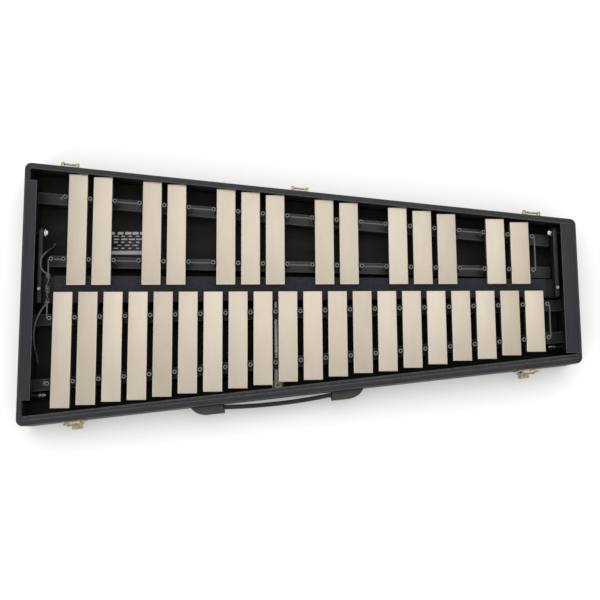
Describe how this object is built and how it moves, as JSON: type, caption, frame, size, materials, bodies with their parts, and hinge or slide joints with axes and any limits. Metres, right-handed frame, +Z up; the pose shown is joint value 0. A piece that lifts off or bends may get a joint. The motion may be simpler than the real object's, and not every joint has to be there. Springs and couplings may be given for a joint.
{
  "type": "glockenspiel",
  "caption": "Concert glockenspiel in a tapered case tray: nickelled steel bars on cords between posts, over a sprung pedal damper, with latches, hinges and handle.",
  "frame": {"origin": "middle of the bounding box at the feet's underside", "axes": "+X toward the high notes, +Y toward the lid hinges at the back, away from the player, +Z up"},
  "size_m": [0.878, 0.4234, 0.068],
  "materials": {
    "case_covering": "fine grained black covering on plywood",
    "black_paint": "plywood and beech, painted matt black",
    "rim_profile": "dark grey plastic closure profile, satin",
    "cheek_board": "black laminate, edges worn lighter",
    "foot_rubber": "black rubber",
    "bright_steel": "zinc-plated steel",
    "sleeve_rubber": "grey tubing on the posts",
    "cord": "grey braided cord",
    "felt": "slate wool felt",
    "dark_steel": "dark steel",
    "coupling_plastic": "cream plastic block",
    "chrome_nut": "bright chrome",
    "nickel_fitting": "warm nickel plating",
    "handle_plastic": "moulded black plastic",
    "handle_skin": "black grained strap",
    "plate": "black printed plate with pale print",
    "bar_steel": "satin nickel with a champagne tint"
  },
  "bodies": {
    "case": {"case_floor": "black_paint", "case_front_wall": "case_covering", "case_rear_wall": "case_covering", "case_end_walls": "case_covering", "closure_rim": "rim_profile", "end_cheeks": "cheek_board", "rubber_feet": "foot_rubber", "sharp_rails": "black_paint", "natural_rails": "black_paint", "post_studs": "bright_steel", "post_sleeves": "sleeve_rubber", "sharp_cord": "cord", "natural_cord": "cord", "cord_spring": "bright_steel", "sharp_cord_tail": "cord", "natural_cord_tail": "cord", "damper_pivots": "chrome_nut", "damper_springs": "bright_steel", "end_studs": "bright_steel", "lid_hinges": "nickel_fitting", "latch_bases": "nickel_fitting", "handle_caps": "handle_plastic", "info_plate": "plate", "bar_g5": "bar_steel", "bar_a5": "bar_steel", "bar_b5": "bar_steel", "bar_c6": "bar_steel", "bar_d6": "bar_steel", "bar_e6": "bar_steel", "bar_f6": "bar_steel", "bar_g6": "bar_steel", "bar_a6": "bar_steel", "bar_b6": "bar_steel", "bar_c7": "bar_steel", "bar_d7": "bar_steel", "bar_e7": "bar_steel", "bar_f7": "bar_steel", "bar_g7": "bar_steel", "bar_a7": "bar_steel", "bar_b7": "bar_steel", "bar_c8": "bar_steel", "bar_d8": "bar_steel", "bar_e8": "bar_steel", "bars_gs5_as5": "bar_steel", "bars_cs6_ds6": "bar_steel", "bars_fs6_gs6_as6": "bar_steel", "bars_cs7_ds7": "bar_steel", "bars_fs7_gs7_as7": "bar_steel", "bars_cs8_ds8": "bar_steel"},
    "damper": {"damper_board": "black_paint", "damper_felt": "felt", "damper_arms": "dark_steel", "damper_screws": "dark_steel", "pull_lever": "bright_steel", "pedal_coupling": "coupling_plastic"},
    "left_lever": {"left_latch_lever": "nickel_fitting"},
    "right_lever": {"right_latch_lever": "nickel_fitting"},
    "left_bail": {"left_latch_bail": "nickel_fitting"},
    "right_bail": {"right_latch_bail": "nickel_fitting"},
    "handle": {"handle_strap": "handle_skin"}
  },
  "joints": [
    {"name": "damper_pivot", "type": "hinge", "parent": "case", "child": "damper", "pos_m": [0, 0.097, 0.0465], "axis": [1, 0, 0], "range_deg": [0, 3], "stiffness_Nm_per_rad": 10, "springref_deg": -8.59, "deforming": ["damper_springs"]},
    {"name": "left_lever_turn", "type": "hinge", "parent": "case", "child": "left_lever", "pos_m": [-0.35352, -0.20392, 0.048], "axis": [-0.9944, -0.1059, 0], "range_deg": [0, 120]},
    {"name": "left_bail_turn", "type": "hinge", "parent": "left_lever", "child": "left_bail", "pos_m": [-0.35352, -0.20392, 0.037], "axis": [0.9944, 0.1059, 0], "range_deg": [0, 150]},
    {"name": "right_lever_turn", "type": "hinge", "parent": "case", "child": "right_lever", "pos_m": [0.35448, -0.12853, 0.048], "axis": [-0.9944, -0.1059, 0], "range_deg": [0, 120]},
    {"name": "right_bail_turn", "type": "hinge", "parent": "right_lever", "child": "right_bail", "pos_m": [0.35448, -0.12853, 0.037], "axis": [0.9944, 0.1059, 0], "range_deg": [0, 150]},
    {"name": "handle_lift", "type": "slide", "parent": "case", "child": "handle", "axis": [0.1059, -0.9944, 0], "range_m": [0, 0.004]}
  ],
  "couplings": [
    {"joint": "left_bail_turn", "follows": "left_lever_turn", "ratio": 1.25},
    {"joint": "right_bail_turn", "follows": "right_lever_turn", "ratio": 1.25}
  ]
}
